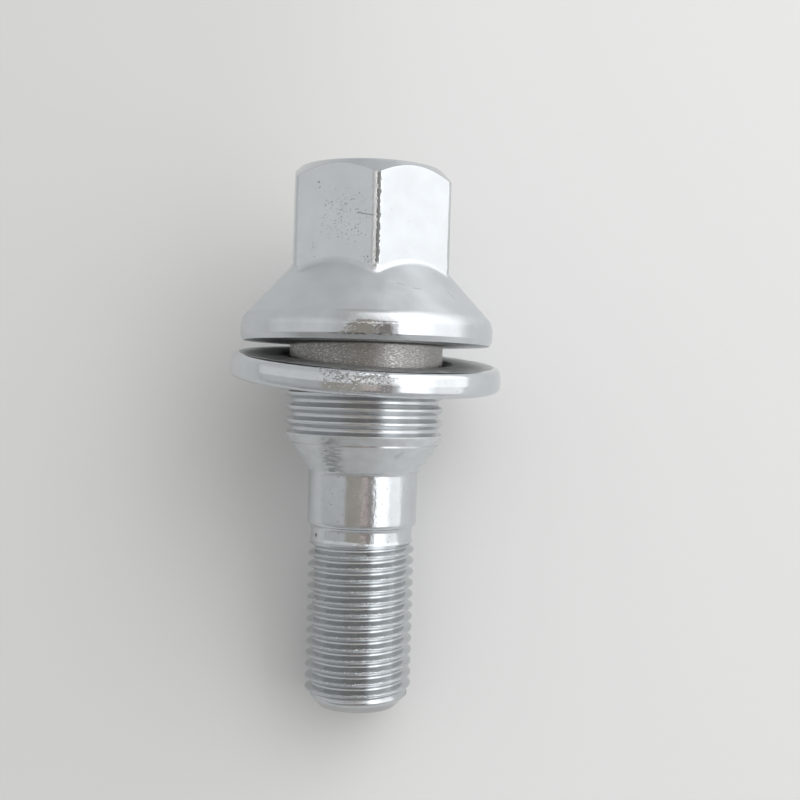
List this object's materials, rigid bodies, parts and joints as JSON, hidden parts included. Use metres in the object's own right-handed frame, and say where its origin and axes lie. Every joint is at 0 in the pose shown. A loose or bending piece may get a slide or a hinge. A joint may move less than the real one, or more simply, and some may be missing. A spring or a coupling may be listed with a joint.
{
  "type": "wheel bolt",
  "caption": "Car wheel bolt with a hexagon head on a cone flange, a loose captive washer held by a ringed collar, a tapered shank and a fine-threaded end.",
  "frame": {"origin": "centre of the hexagon head's end face, on which the bolt stands", "axes": "+Z along the bolt's axis from the head to the thread's tip; one corner of the hexagon points along -Y"},
  "size_m": [0.0303, 0.0302, 0.0597],
  "materials": {
    "bolt_steel": "bright zinc plated, dull on the neck",
    "washer_steel": "bright zinc plated, pitted on the rim"
  },
  "bodies": {
    "bolt": {"bolt": "bolt_steel"},
    "washer": {"captive_washer": "washer_steel"}
  },
  "joints": [
    {"name": "washer_spin", "type": "hinge", "parent": "bolt", "child": "washer", "pos_m": [0, 0, 0.02226], "axis": [0, 0, 1], "continuous": true}
  ]
}
